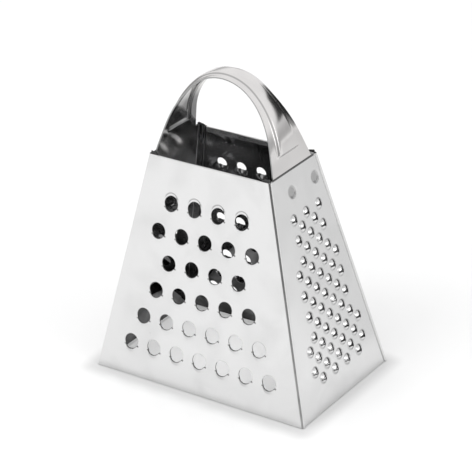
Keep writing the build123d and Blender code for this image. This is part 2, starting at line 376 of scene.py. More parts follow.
# %% A round stamp from a height formula
def ease(low, high, value):
    """0 below low, 1 above high, and a smooth step between."""
    part = min(max((value - low) / (high - low), 0.0), 1.0)
    return part * part * (3 - 2 * part)


def link_object(name, data):
    made = bpy.data.objects.new(name, data)
    bpy.context.scene.collection.objects.link(made)
    return made


def mesh_object(name, points, faces):
    mesh = bpy.data.meshes.new(name)
    mesh.from_pydata([tuple(point) for point in points], [], faces)
    mesh.validate()
    return link_object(name, mesh)


def store_dulling_and_painted_light(mesh, marks):
    """Store how strongly the press has worked each point of the sheet, which also sets how much
    painted shade or highlight it takes.
    """
    mesh.attributes.new("worked", "FLOAT", "POINT").data.foreach_set("value", marks)


def stamp_object(name, points, faces, marks, reach, spokes):
    """A stamp that also knows the opening it fills: spokes points round a ring at its reach."""
    made = mesh_object(name, points, faces)
    store_dulling_and_painted_light(made.data, marks)
    made["reach"] = reach
    made["spokes"] = spokes
    return made


def round_stamp(name, radii, spokes, hole_at, height, worked):
    """Rings of quads from the first radius in to the edge of the hole.

    radii lists each ring as (radius, share): the share of the way from that radius to the hole.
    """
    points, marks, faces = [], [], []
    for radius, share in radii:
        for spoke in range(spokes):
            turn = 2 * pi * spoke / spokes
            reach = hole_at(turn) * share + radius * (1 - share)
            points.append((reach * cos(turn), reach * sin(turn), height(reach)))
            marks.append(worked(reach, turn))
    for outer in range(0, (len(radii) - 1) * spokes, spokes):
        inner = outer + spokes
        for spoke in range(spokes):
            after = (spoke + 1) % spokes
            faces.append((outer + spoke, outer + after, inner + after, inner + spoke))
    return stamp_object(name, points, faces, marks, radii[0][0], spokes)


print("stamp helpers ready")

# %% [markdown]
# ## Cutting holes
# A cutting hole is a round hole whose lower edge was lifted into a blade. Two short slits end the
# blade, so it can rise steeply without tearing the sheet, and above the hole the punch leaves a
# slight dent. In the mesh a slit is two rows of points in one place with different heights.

# %% Cutting holes: a blade between two slits below, a dent above
slit_turn = radians(60)
dent_middle = radians(88)
dent_full, dent_end = radians(38), radians(70)
pinch_full, pinch_from, pinch_to = radians(68), radians(72), radians(100)
pinch_share = 0.72
blade_taper_share = 0.6
blade_curl = 1.3
# The marks below are painted shade outside and painted highlight inside: slit ends, the dent's edge
# and the hole's rim.
slit_shade = 0.85
dent_edge_shade = 0.7
hole_edge_shade = 0.3
hole_edge_shade_reach = 1.08
tiny = 1e-9
same_turn = 1e-6


def turn_from(turn, middle):
    """The angle between two directions, whichever way round."""
    return abs((turn - middle + pi) % (2 * pi) - pi)


def cutting_stamp(name, hole, reach, slit, lip, dip, steps, spokes, ridge=0.0, painted_light_marks=0.0):
    """Polar grid from reach in to the hole, cut along two slits at slit_turn from straight down.

    slit is the radius where the slits end, ridge the height of the edge of the dent, and
    painted_light_marks how strongly the line where the blade bends up is painted: shade outside, a
    highlight inside.
    """
    bend_far = reach - flat_band
    ring = (bend_far - slit) / steps
    dent_far = slit + 3 * ring

    def dent_edge(turn):
        """The dent is widest at the top and closes in on the hole towards its ends."""
        off = turn_from(turn, dent_middle)
        closing = ease(0.0, pinch_full, off) * (1 - ease(pinch_from, pinch_to, off))
        return hole + (dent_far - hole) * (1 - pinch_share * closing)

    def warped(radius, turn):
        """Move the rings so that one of them runs along the edge of the dent."""
        edge = dent_edge(turn) if ridge > 0 else dent_far
        if radius > bend_far:
            return radius
        if radius > dent_far:
            return edge + (radius - dent_far) * (bend_far - edge) / (bend_far - dent_far)
        return hole + (radius - hole) * (edge - hole) / (dent_far - hole)

    def blade(radius, off):
        """Height of the blade and the painted shade line along its bend, lighter inside; off is 1
        at the slits.
        """
        if off > 1:
            return 0.0, 0.0
        bend = slit + (bend_far - slit) * (1 - off * off)
        rise = max(0.0, (bend - radius) / (bend - hole))
        on_bend_line = max(0.0, 1 - abs(bend - ring - radius) / (1.5 * ring))
        return lip * (1 - blade_taper_share * off * off) * rise**blade_curl, painted_light_marks * on_bend_line

    def dent(radius, turn):
        """Height of the dent and the painted shade line at its edge."""
        above = 1 - ease(dent_full, dent_end, turn_from(turn, dent_middle))
        crest = max(0.0, 1 - abs(radius - dent_far) / (1.4 * ring)) * above
        depth = dip * max(0.0, (dent_far - radius) / (dent_far - hole)) * above
        return ridge * crest - depth, dent_edge_shade * crest if ridge > 0 else 0.0

    radii = [reach] + [bend_far - ring * k for k in range(steps + 1)]
    radii += [slit + (hole - slit) * k / 4 for k in range(1, 5)]
    points, marks, rows, faces = [], [], [], []

    def add(radius, turn, height, mark):
        place = warped(radius, turn)
        points.append((place * cos(turn), place * sin(turn), height))
        marks.append(mark)
        return len(points) - 1

    for radius in radii:
        row = []
        for spoke in range(spokes):
            turn = 2 * pi * spoke / spokes
            off = turn_from(turn, -pi / 2) / slit_turn
            on_slit = abs(off - 1) < same_turn
            dented, pressed = dent(radius, turn)
            lifted, painted_bend_line = blade(radius, off)
            by_hole = ease(hole * hole_edge_shade_reach, hole, radius)
            mark = max(hole_edge_shade * by_hole, painted_bend_line, pressed)
            if on_slit and radius < slit + tiny:
                mark = slit_shade
            if on_slit and radius < slit - tiny:
                row.append((add(radius, turn, lifted, mark), add(radius, turn, 0.0, mark)))
            else:
                row.append((add(radius, turn, lifted + dented, mark),) * 2)
        rows.append(row)
    for outer, inner in zip(rows, rows[1:]):
        for spoke in range(spokes):
            after = (spoke + 1) % spokes
            below = turn_from(2 * pi * (spoke + 0.5) / spokes, -pi / 2) < slit_turn
            side = 0 if below else 1
            faces.append((
                outer[spoke][side], outer[after][side], inner[after][side], inner[spoke][side],
            ))
    return stamp_object(name, points, faces, marks, reach, spokes)


coarse_sizes = {
    "hole": 3.4 * mm, "reach": 5.85 * mm, "slit": 4.1 * mm, "lip": 0.8 * mm,
    "steps": 7, "spokes": 48,
}
coarse_stamp = cutting_stamp("coarse_stamp", dip=0.05 * mm, **coarse_sizes)
coarse_top_stamp = cutting_stamp(
    "coarse_top_stamp", dip=0.36 * mm, ridge=0.05 * mm, **coarse_sizes
)
medium_stamp = cutting_stamp(
    "medium_stamp", hole=2.5 * mm, reach=4.6 * mm, slit=3.2 * mm, lip=1.5 * mm, dip=0.05 * mm,
    steps=6, spokes=36, painted_light_marks=0.35,
)
print("quads per coarse hole:", len(coarse_stamp.data.polygons))

# %% [markdown]
# ## Grating points
# A fine grater is pierced from behind with a three-edged point. The sheet bulges, splits along
# three short slits and opens into three sharp petals round a star-shaped hole.

# %% Pierced domes
fine_dome = 2.35 * mm
fine_rise = 1.15 * mm
fine_reach = fine_dome + 0.55 * mm
star_turn = radians(68)
petal_edge = 0.55 * mm
slit_length = 1.4 * mm
slit_sharpness = 1.5
# Painted shade in a grey ring round the foot of each dome.
dome_foot_shade = 0.3


def star_hole(turn):
    """The hole's edge: near the middle at the petals, far out at the three slits."""
    return petal_edge + slit_length * max(0.0, cos(3 * (turn - star_turn))) ** slit_sharpness


def dome_height(radius):
    share = min(radius / fine_dome, 1.0)
    return fine_rise * (1 - share * share)


def dome_painted_shade(radius, turn):
    """Duller and painted with shade (lighter inside) next to the torn edge of the star and round
    the foot of the dome.
    """
    edge = star_hole(turn)
    torn_edge_shade = ease(edge + 0.4 * mm, edge + 0.15 * mm, radius)
    foot_ring_shade = dome_foot_shade * ease(0.6 * fine_dome, 0.95 * fine_dome, radius)
    return max(torn_edge_shade, foot_ring_shade * ease(fine_reach, fine_dome, radius))


fine_radii = [(fine_reach, 0), (fine_dome + 0.05 * mm, 0)]
fine_radii += [(fine_dome, k / 9) for k in range(1, 10)]
fine_stamp = round_stamp("fine_stamp", fine_radii, 24, star_hole, dome_height, dome_painted_shade)
print("quads per dome:", len(fine_stamp.data.polygons))

# %% The shallow dish that a spot weld leaves
weld_hole = 1.8 * mm
weld_reach = 3.7 * mm
weld_depth = 0.4 * mm
weld_spokes = 32
dish_mark = 0.42
dish_edge = weld_reach - flat_band


def dish_height(radius):
    return -weld_depth * (1 - ease(weld_hole * 0.75, dish_edge, radius))


def dish_worked(radius, turn):
    return dish_mark * ease(dish_edge, 0.6 * weld_reach, radius)


weld_radii = [(weld_reach, 0)] + [(dish_edge, k / 7) for k in range(8)]
weld_stamp = round_stamp(
    "weld_stamp", weld_radii, weld_spokes, lambda turn: weld_hole, dish_height, dish_worked
)
print("weld dish depth", weld_depth / mm, "mm")

# %% [markdown]
# ## The pattern tree
# This tree lays a stamp on every middle, gives each lip a slightly different height, because no
# two strokes of a worn punch are alike, and sews the patches to the flat sheet. Its last nodes
# make real geometry and set the material.

# %% Build the tree
def make_pattern_tree():
    tree = bpy.data.node_groups.new("pressed_pattern", "GeometryNodeTree")
    for label, kind, direction in (
        ("Sheet", "Geometry", "INPUT"),
        ("Middles", "Object", "INPUT"),
        ("Stamp", "Object", "INPUT"),
        ("Lowest stroke", "Float", "INPUT"),
        ("Highest stroke", "Float", "INPUT"),
        ("Sewing gap", "Float", "INPUT"),
        ("Seed", "Int", "INPUT"),
        ("Finish", "Material", "INPUT"),
        ("Sheet", "Geometry", "OUTPUT"),
    ):
        tree.interface.new_socket(label, in_out=direction, socket_type="NodeSocket" + kind)
    given = node(tree, "NodeGroupInput").outputs
    middles = node(tree, "GeometryNodeObjectInfo", {"Object": given["Middles"]})
    stamp = node(tree, "GeometryNodeObjectInfo", {"Object": given["Stamp"]})
    limits = {2: given["Lowest stroke"], 3: given["Highest stroke"], "Seed": given["Seed"]}
    stroke = node(tree, "FunctionNodeRandomValue", limits, data_type="FLOAT").outputs[1]
    lay = node(tree, "GeometryNodeInstanceOnPoints", {
        "Points": middles.outputs["Geometry"],
        "Instance": stamp.outputs["Geometry"],
        "Scale": node(tree, "ShaderNodeCombineXYZ", {"X": 1.0, "Y": 1.0, "Z": stroke}).outputs[0],
    })
    real = node(tree, "GeometryNodeRealizeInstances", {"Geometry": lay.outputs[0]})
    together = node(tree, "GeometryNodeJoinGeometry", {0: real.outputs[0]})
    tree.links.new(given["Sheet"], together.inputs[0])
    sewing = {"Geometry": together.outputs[0], "Distance": given["Sewing gap"]}
    sewn = node(tree, "GeometryNodeMergeByDistance", sewing)
    finishing = {"Geometry": sewn.outputs[0], "Material": given["Finish"]}
    finish = node(tree, "GeometryNodeSetMaterial", finishing)
    node(tree, "NodeGroupOutput", {0: finish.outputs[0]})
    return tree


pattern_tree = make_pattern_tree()
sewing_gap = 0.004 * mm


def plain_mesh(made):
    """The object as it stands after its modifiers, as a mesh of its own."""
    bpy.context.view_layer.update()
    ready = made.evaluated_get(bpy.context.evaluated_depsgraph_get())
    return bpy.data.meshes.new_from_object(ready)


def press_pattern(sheet_object, middles, stamp, strokes, seed):
    """Lay the stamp on every middle and sew it into the flat sheet."""
    points = mesh_object(stamp.name + "_middles", [(x, y, 0.0) for x, y in middles], [])
    modifier = sheet_object.modifiers.new("pattern", "NODES")
    modifier.node_group = pattern_tree
    values = {
        "Middles": points, "Stamp": stamp, "Lowest stroke": strokes[0],
        "Highest stroke": strokes[1], "Sewing gap": sewing_gap, "Seed": seed,
        "Finish": panel_steel,
    }
    for item in pattern_tree.interface.items_tree:
        if item.in_out == "INPUT" and item.name in values:
            modifier[item.identifier] = values[item.name]
    pressed = plain_mesh(sheet_object)
    sheet_object.modifiers.remove(modifier)
    sheet_object.data = pressed
    bpy.data.objects.remove(points)


print("tree sockets:", [item.name for item in pattern_tree.interface.items_tree])

# %% [markdown]
# ## Flat sheet with openings
# The flat part of a panel is one outline with round openings where the stamps go. A constrained
# Delaunay triangulation fills such a shape exactly, and a flat surface needs no finer mesh.

# %% Fill an outline around its openings
def ring_of(middle, radius, count):
    return [
        (middle[0] + radius * cos(2 * pi * k / count), middle[1] + radius * sin(2 * pi * k / count))
        for k in range(count)
    ]


def inside(loop, x, y):
    hit = False
    for (ax, ay), (bx, by) in zip(loop, loop[1:] + loop[:1]):
        if (ay > y) != (by > y) and x < (bx - ax) * (y - ay) / (by - ay) + ax:
            hit = not hit
    return hit


def flat_with_openings(name, outline, openings):
    """A flat mesh of the outline, open inside each loop of the openings."""
    points, edges = [], []
    for loop in [outline] + openings:
        first = len(points)
        points += [Vector(point) for point in loop]
        edges += [(first + k, first + (k + 1) % len(loop)) for k in range(len(loop))]
    filled = geometry.delaunay_2d_cdt(points, edges, [], 0, tiny)
    corners, faces = filled[0], filled[2]
    spans = [(*map(min, zip(*loop)), *map(max, zip(*loop)), loop) for loop in openings]
    kept = []
    for face in faces:
        x, y = [sum(corners[k][axis] for k in face) / len(face) for axis in (0, 1)]
        opened = any(
            low_x < x < high_x and low_y < y < high_y and inside(loop, x, y)
            for low_x, low_y, high_x, high_y, loop in spans
        )
        if inside(outline, x, y) and not opened:
            kept.append(face)
    made = mesh_object(name, [(p[0], p[1], 0.0) for p in corners], kept)
    if sum(face.normal.z for face in made.data.polygons) < 0:
        made.data.flip_normals()
    return made


print("outline filler ready")

# %% [markdown]
# ## Folded corners
# At each corner the front or back panel turns round and laps the side panel, and the side panel
# turns inwards behind it. Seen end on, each is an L with a rounded corner, so we work out that
# section once and slide it along the corner edge to the levels where the sheet is cut.

# %% Section of a fold, carried along the corner edge
arc_steps = 10


def side_outwards(width_side):
    return Vector((width_side * body_height, 0, width_lean)).normalized()


def corner_edges(width_side, depth_side):
    """The foot of a corner, the way up along it, and the ways along both its panels."""
    hip = Vector((-width_side * width_lean, -depth_side * depth_lean, body_height)).normalized()
    face_out = Vector((0, depth_side * body_height, depth_lean)).normalized()
    turn = width_side * depth_side
    along_face = (hip.cross(face_out) * turn).normalized()
    along_side = (side_outwards(width_side).cross(hip) * turn).normalized()
    corner = Vector((width_side * base_width / 2, depth_side * base_depth / 2, 0))
    return corner, hip, along_face, along_side


def fold_section(along_first, along_second, inset, radius, first_leg, second_legs):
    """Points of the outer side of a fold, from the flat of one panel round to the other leg."""
    angle = along_first.angle(along_second)
    tip = (along_first + along_second) * (inset / sin(angle))
    tangent = radius / tan(angle / 2)
    start = tip + along_first * tangent
    end = tip + along_second * tangent
    middle = tip + (along_first + along_second).normalized() * (radius / sin(angle / 2))
    points = [tip + along_first * (first_leg - inset / tan(angle)), start + along_first * flat_band]
    for step in range(arc_steps + 1):
        share = step / arc_steps
        arm = (start - middle).normalized().slerp((end - middle).normalized(), share)
        points.append(middle + arm * radius)
    points.append(end + along_second * flat_band)
    points += [tip + along_second * leg for leg in second_legs]
    return points


def at_level(point, hip, corner, level):
    """Slide a point of the section along the corner edge to a height."""
    place = corner + point
    return place + hip * ((level - place.z) / hip.z)


def add_strip(bm, rows, outwards, finishes=None):
    """Quads between rows of points, turned so that the first one faces outwards."""
    grid = [[bm.verts.new(point) for point in row] for row in rows]
    made = []
    for low, high in zip(grid, grid[1:]):
        for k in range(len(low) - 1):
            made.append(bm.faces.new((low[k], low[k + 1], high[k + 1], high[k])))
            if finishes:
                made[-1].material_index = finishes(k)
    made[0].normal_update()
    if made[0].normal.dot(outwards) < 0:
        for face in made:
            face.normal_flip()


print("fold helper ready")

# %% Thickness, smooth shading and the finishes
# The slots of every sheet piece: outside, inside, painted shade line, its inside, and cut edges
# painted dark
plain, painted_shade_slot, cut = 0, 2, 4
sharp_fold = radians(38)


def finish_sheet(name, mesh, thickness, outside, inside_finish, edge_finish=edge_steel):
    """Give a surface its thickness on the inner side and make it one finished piece."""
    for finish in (outside, inside_finish, seam_steel, inside_finish, edge_finish):
        mesh.materials.append(finish)
    made = link_object(name, mesh)
    solid = made.modifiers.new("thickness", "SOLIDIFY")
    solid.thickness = thickness
    solid.offset = -1.0
    solid.use_even_offset = True
    solid.material_offset = 1
    solid.material_offset_rim = cut
    thick = plain_mesh(made)
    made.modifiers.remove(solid)
    made.data = thick
    thick.shade_smooth()
    thick.set_sharp_from_angle(angle=sharp_fold)
    print(name, len(thick.polygons), "faces")
    return made


# The corner nearest to the camera, as its sides in width and depth
seen_corner = (1, -1)


# The seen corner's bend takes the dark seam steel: a painted shade line.
def on_bend(k):
    """The middle of the bend of the seen corner, which the photograph shows as a dark line."""
    return painted_shade_slot if 3 <= k <= arc_steps - 2 else plain


face_fold_radius = bend_radius + side_inset + sheet
side_fold_radius = bend_radius + sheet
flat_leg = 1.8 * mm
print("fold radii", round(face_fold_radius / mm, 2), round(side_fold_radius / mm, 2))

# %% [markdown]
# ## Front and back panels
# Both have the same folds and the same rolled top edge, and differ only in their pattern. The
# rolled edge is a hem: the sheet is turned over inwards and flattened, so no raw edge is left
# where a hand would meet it.

# %% A flat sheet with its patterns pressed in
def local(plane, place):
    flat = plane.inverted() @ place
    return (flat.x, flat.y)


def pressed_sheet(name, outline, patterns, more_openings=()):
    """The flat part of a panel; patterns is a list of (middles, stamp, strokes, seed)."""
    openings = [
        ring_of(middle, stamp["reach"], stamp["spokes"])
        for middles, stamp, _, _ in patterns
        for middle in middles
    ]
    flat = flat_with_openings(name + "_flat", outline, openings + list(more_openings))
    for middles, stamp, strokes, seed in patterns:
        press_pattern(flat, middles, stamp, strokes, seed)
    bm = bmesh.new()
    bm.from_mesh(flat.data)
    bpy.data.objects.remove(flat)
    for face in bm.faces:
        face.material_index = plain
    return bm


def mesh_from(name, bm):
    mesh = bpy.data.meshes.new(name)
    bm.to_mesh(mesh)
    bm.free()
    return mesh


print("sheet helpers ready")

# %% A face panel
fold_gap = 0.05 * mm
lap_press = 1.2 * seam_clearance
lap_edge_margin = 0.8 * mm


def face_panel(name, plane, depth_side, patterns):
    folds = {}
    for width_side in (1, -1):
        corner, hip, along_face, along_side = corner_edges(width_side, depth_side)
        section = fold_section(
            along_face, along_side, 0.0, face_fold_radius, flat_leg, [return_width]
        )
        section[-1] = section[-1] - side_outwards(width_side) * lap_press
        folds[width_side] = [
            [at_level(point, hip, corner, level) for point in section]
            for level in (0.0, body_height)
        ]
    foot_right, top_right = [local(plane, row[0]) for row in folds[-depth_side]]
    foot_left, top_left = [local(plane, row[0]) for row in folds[depth_side]]
    hem_half = top_width / 2 - hem_end_gap
    roll = sheet + fold_gap / 2
    roll_slant = face_slant - roll
    notch = roll_slant - flat_band
    notch_slants = [face_slant, roll_slant, notch]
    outline = [foot_left, foot_right, top_right]
    outline += [(hem_half, slant) for slant in notch_slants]
    outline += [(-hem_half, slant) for slant in reversed(notch_slants)]
    outline.append(top_left)
    bm = pressed_sheet(name, outline, patterns)
    hem = [(notch, 0.0), (roll_slant, 0.0)]
    for step in range(1, arc_steps + 1):
        turn = pi * step / arc_steps
        hem.append((roll_slant + roll * sin(turn), -roll + roll * cos(turn)))
    hem += [(roll_slant - flat_band, -2 * roll), (face_slant - hem_height, -2 * roll)]
    rows = [[(side * hem_half, s, z) for s, z in hem] for side in (-1, 1)]
    add_strip(bm, rows, Vector((0, 0, 1)))
    bmesh.ops.transform(bm, matrix=plane, verts=bm.verts)
    out = plane.to_3x3() @ Vector((0, 0, 1))
    for width_side, rows in folds.items():
        painted_shade_fold = (width_side, depth_side) == seen_corner
        add_strip(bm, rows, out, on_bend if painted_shade_fold else None)
    bmesh.ops.remove_doubles(bm, verts=bm.verts, dist=sewing_gap)
    made = finish_sheet(name, mesh_from(name, bm), sheet, panel_steel, inside_steel)
    for face in made.data.polygons:
        level = face.center.z
        side_face = base_width / 2 - width_lean * level / body_height
        on_lap = abs(face.center.x) > side_face - lap_edge_margin
        if face.material_index == cut and on_lap and mm < level < body_height - mm:
            face.material_index = plain
    return made


top_row = max(slant for _, slant in coarse_middles)
upper_coarse = [place for place in coarse_middles if place[1] == top_row]
lower_coarse = [place for place in coarse_middles if place[1] < top_row]
coarse_panel = face_panel(
    "coarse_grating_panel", front_plane, -1,
    [
        (upper_coarse, coarse_top_stamp, (0.95, 1.05), 2),
        (lower_coarse, coarse_stamp, (0.9, 1.08), 4),
    ],
)
medium_panel = face_panel(
    "medium_grating_panel", back_plane, 1, [(medium_middles, medium_stamp, (0.9, 1.08), 9)]
)

# %% [markdown]
# ## Side panels
# The side panels carry flanges that run down behind the face panels. Each flange stands a little
# above the rim with a rounded end, which shows in the photograph as dark tips at the corners.

# %% The flat part and flanges of a side panel
rim_line = 0.5 * mm
tip_shares = [0.35, 0.6, 0.8, 0.93, 1.0]


def side_folds(width_side, depth_side):
    """Rows of a flange up to the rim, and the row along its rounded tip above the rim."""
    corner, hip, along_face, along_side = corner_edges(width_side, depth_side)
    skip = side_inset / sin(along_face.angle(along_side))
    legs = [(flange_width - skip) * share for share in tip_shares]
    section = fold_section(along_side, along_face, side_inset, side_fold_radius, flat_leg, legs)
    rows = [
        [at_level(point, hip, corner, level) for point in section]
        for level in (0.0, body_height - rim_line, body_height)
    ]
    tip = []
    for k, point in enumerate(section[2:]):
        share = max(0.0, (k - arc_steps - 1) / len(tip_shares))
        rise = max(flange_rise * (1 - share) ** 0.6, flat_band / 2)
        tip.append(at_level(point, hip, corner, body_height + rise))
    return rows, tip


def side_panel(name, plane, width_side, patterns, slots=()):
    """patterns as in pressed_sheet; slots is a list of (rim, points, faces)."""
    folds = {depth_side: side_folds(width_side, depth_side) for depth_side in (1, -1)}
    foot_right, top_right, rim_right = [local(plane, row[0]) for row in folds[width_side][0]]
    foot_left, top_left, rim_left = [local(plane, row[0]) for row in folds[-width_side][0]]
    outline = [foot_left, foot_right, top_right, top_left]
    bm = pressed_sheet(name, outline, patterns, [rim for rim, _, _ in slots])
    for _, points, faces in slots:
        grid = [bm.verts.new(point) for point in points]
        for face in faces:
            bm.faces.new([grid[k] for k in face])
    rim_rows = [
        [Vector((*point, 0.0)) for point in pair]
        for pair in ((top_left, top_right), (rim_left, rim_right))
    ]
    # A thin strip under the rim takes the dark seam steel: a painted shade line.
    add_strip(bm, rim_rows, Vector((0, 0, 1)), lambda k: painted_shade_slot)
    bmesh.ops.transform(bm, matrix=plane, verts=bm.verts)
    out = plane.to_3x3() @ Vector((0, 0, 1))
    for rows, tip in folds.values():
        add_strip(bm, rows, out)
        # The flange tips take the dark cut-edge steel: painted shade.
        add_strip(bm, [rows[-1][2:], tip], out, lambda k: cut)
    bmesh.ops.remove_doubles(bm, verts=bm.verts, dist=sewing_gap)
    return finish_sheet(name, mesh_from(name, bm), sheet, panel_steel, inside_steel)


weld_shift = 4.4 * mm
weld_spacing = 17.2 * mm
weld_slant = side_slant - 8.9 * mm


def weld_middles(width_side):
    return [
        (width_side * (weld_shift + end * weld_spacing / 2), weld_slant) for end in (1, -1)
    ]


def weld_pattern(width_side):
    return (weld_middles(width_side), weld_stamp, (0.9, 1.1), 1)


fine_panel = side_panel(
    "fine_grating_panel", right_sheet, 1,
    [(fine_middles, fine_stamp, (0.92, 1.06), 3), weld_pattern(1)],
)

# %% [markdown]
# ## Slicing blades
# A slicing slot is a long cut whose lower edge is raised into a blade. The patch around it is a
# grid of points: the strip below the cut ramps up to the edge and fades out towards both ends.

# %% Slot patches for the left panel
slice_opening = 2.6 * mm
slice_blade = 6.0 * mm
slice_rise = 1.8 * mm
slice_rim = 0.9 * mm
slice_fade = 3.2 * mm
slice_curl = 0.35 * slice_blade
slice_margin = 12.0 * mm
slice_gap = 23.0 * mm
top_slice = side_slant - 32.67 * mm


def stations(start, *legs):
    """Evenly spaced values from the start on; each leg is (end, number of steps)."""
    values = [start]
    for end, count in legs:
        low = values[-1]
        values += [low + (end - low) * k / count for k in range(1, count)] + [end]
    return values


def slot_patch(edge, half):
    """(outer rim, points, faces) of one slot, with its cut at a distance up the slope."""
    across = stations(
        -half - slice_rim, (-half, 2), (-half + slice_fade, 8), (half - slice_fade, 14),
        (half, 8), (half + slice_rim, 2),
    )
    below = stations(-slice_blade - slice_rim, (-slice_blade, 1), (0, 9))
    ups = below + [slice_opening, slice_opening + slice_rim]
    cut_row = len(below) - 1
    wide = len(across)
    points, faces = [], []
    for up in ups:
        climb = ease(-slice_blade, slice_curl, min(up, 0)) / ease(-slice_blade, slice_curl, 0)
        for x in across:
            rise = slice_rise * climb * ease(0.0, slice_fade, half - abs(x))
            points.append((x, edge + up, rise if up <= 0 else 0.0))
    for row in range(len(ups) - 1):
        for k in range(wide - 1):
            over_slot = abs(across[k] + across[k + 1]) / 2 < half
            if row == cut_row and over_slot:
                continue
            first = row * wide + k
            faces.append((first, first + 1, first + 1 + wide, first + wide))
    rim = [(x, edge + ups[0]) for x in across]
    rim += [(across[-1], edge + up) for up in ups[1:]]
    rim += [(x, edge + ups[-1]) for x in reversed(across[:-1])]
    rim += [(across[0], edge + up) for up in reversed(ups[1:-1])]
    return rim, points, faces


slots = [
    slot_patch(edge, side_half_width(edge) - slice_margin)
    for edge in row_slants(top_slice, slice_gap)
]
slicing_panel = side_panel("slicing_panel", left_sheet, -1, [weld_pattern(-1)], slots)
print("slots:", len(slots))

# %% [markdown]
# ## Handle
# The handle is one strap. Its path is two straight legs, two flat shoulder arcs and a tighter
# crown arc, all tangent. Across the strap a raised rib stiffens it, and the rib ends in a
# step above the rim on each leg. A grid that follows the path and carries the rib as a height
# gives all of that in one surface.

# %% The arch
strap_sheet = 0.6 * mm
rib_rise = 1.0 * mm
crown_top = strap_high[2] - rib_rise
crown_radius = 21.0 * mm
crown_angle = radians(40.0)
leg_width = strap_high[1] - strap_low[1]
handle_shift = (strap_high[1] + strap_low[1]) / 2
crown_width = 11.8 * mm
leg_foot = strap_low[2]
rib_foot = body_height + 6.8 * mm
taper_foot = body_height - 3.0 * mm
taper_top = body_height + 29.0 * mm
rib_share = 0.6
camber = 0.55 * mm
camber_full = body_height + 12.0 * mm

lean = atan2(width_lean, body_height)
leg_normal = Vector((cos(lean), sin(lean)))
leg_up = Vector((-sin(lean), cos(lean)))
leg_distance = base_width / 2 * cos(lean) - leg_inset
crown_ray = Vector((sin(crown_angle), cos(crown_angle)))
crown_centre = Vector((0, crown_top - crown_radius))
crown_end = crown_centre + crown_ray * crown_radius
shoulder_radius = (leg_distance - leg_normal.dot(crown_end)) / (1 - leg_normal.dot(crown_ray))
shoulder_centre = crown_end - crown_ray * shoulder_radius
shoulder_end = shoulder_centre + leg_normal * shoulder_radius
shoulder_turn = pi / 2 - lean - crown_angle
leg_length = (shoulder_end.y - leg_foot) / cos(lean)
half_arch = leg_length + shoulder_radius * shoulder_turn + crown_radius * crown_angle


def arch_point(distance):
    """Place and outward direction in the XZ plane, by distance along the right half."""
    if distance <= leg_length:
        return shoulder_end + leg_up * (distance - leg_length), leg_normal
    along = distance - leg_length
    if along <= shoulder_radius * shoulder_turn:
        turn = lean + along / shoulder_radius
        ray = Vector((cos(turn), sin(turn)))
        return shoulder_centre + ray * shoulder_radius, ray
    turn = pi / 2 - crown_angle + (along - shoulder_radius * shoulder_turn) / crown_radius
    ray = Vector((cos(turn), sin(turn)))
    return crown_centre + ray * crown_radius, ray


print("strap length", round(2 * half_arch / mm, 1), "mm")

# %% The strap as one surface
foot_round = 3.0 * mm
rib_wall = 0.5 * mm
step_low, step_high = rib_foot - 0.5 * mm, rib_foot + 0.9 * mm
# Painted shade along the rib's walls, strongest where the rib steps up.
rib_wall_shade = 0.6
taper_softness = 0.012


def strap_half_width(level):
    share = (level - taper_foot) / (taper_top - taper_foot)
    soft = (sqrt((1 - share) ** 2 + taper_softness) + (1 - share)) / 2
    return (crown_width + (leg_width - crown_width) * min(soft, 1.0)) / 2


def strap_steps(width):
    """Half a section: (distance from the middle, whether on the rib's wall or its top)."""
    middle = rib_share * width
    steps = [(share * (middle - rib_wall), "top") for share in (0.0, 0.4, 0.75)]
    for k in range(9):
        share = -1 + k / 4
        steps.append((middle + share * rib_wall, "wall" if abs(share) < 0.3 else ""))
    flat = width - middle - rib_wall
    return steps + [(middle + rib_wall + share * flat, "") for share in (0.25, 0.6, 0.9, 1.0)]


def strap_surface():
    """Rows of points over the whole arch, and how much painted shade each point takes."""
    stops = stations(0.0, (foot_round, 8), (20.0 * mm, 14), (26.0 * mm, 24), (half_arch, 46))
    rows, marks = [], []
    for side in (1, -1):
        half, half_marks = [], []
        for distance in stops:
            place, ray = arch_point(distance)
            width = strap_half_width(place.y)
            if distance < foot_round:
                width -= foot_round - sqrt(foot_round**2 - (foot_round - distance) ** 2)
            climb = ease(step_low, step_high, place.y)
            arched = camber * ease(body_height, camber_full, place.y)
            shade_at = {"wall": rib_wall_shade * climb, "top": 4 * rib_wall_shade * climb * (1 - climb)}
            row, painted_light_marks = [], []
            for reach, part in strap_steps(width):
                painted_light_marks.append(shade_at.get(part, 0.0))
                lift = rib_rise * climb * (1 - ease(-rib_wall, rib_wall, reach - rib_share * width))
                lift -= arched * (reach / width) ** 2
                point = place + ray * lift
                row.append((side * point.x, reach, point.y))
            mirrored = [(x, -reach, z) for x, reach, z in reversed(row[1:])]
            half.append([(x, handle_shift + reach, z) for x, reach, z in mirrored + row])
            half_marks.append(list(reversed(painted_light_marks[1:])) + painted_light_marks)
        rows.append(half)
        marks.append(half_marks)
    return [first + list(reversed(second))[1:] for first, second in (rows, marks)]


def make_strap(name):
    bm = bmesh.new()
    rows, marks = strap_surface()
    add_strip(bm, rows, Vector((1, 0, 0)))
    mesh = mesh_from(name, bm)
    store_dulling_and_painted_light(mesh, [value for row in marks for value in row])
    return finish_sheet(
        name, mesh, strap_sheet, handle_steel, strap_inside_steel, strap_edge_steel
    )


strap = make_strap("strap_handle")

# %% [markdown]
# ## Weld marks
# Each leg is held by two spot welds. A weld leaves a dull, slightly sunken disc in the bright
# sheet, so a small dished lens of greyer steel closes each round mark.

# %% Nuggets in the four weld dishes
weld_play = 0.02 * mm
sharp_rim = radians(50)
# Each ring of a nugget's front as a share of its radius, and how far it sinks
nugget_rings = [(1.0, 0.0), (0.8, 0.01 * mm), (0.55, 0.018 * mm), (0.25, 0.022 * mm)]


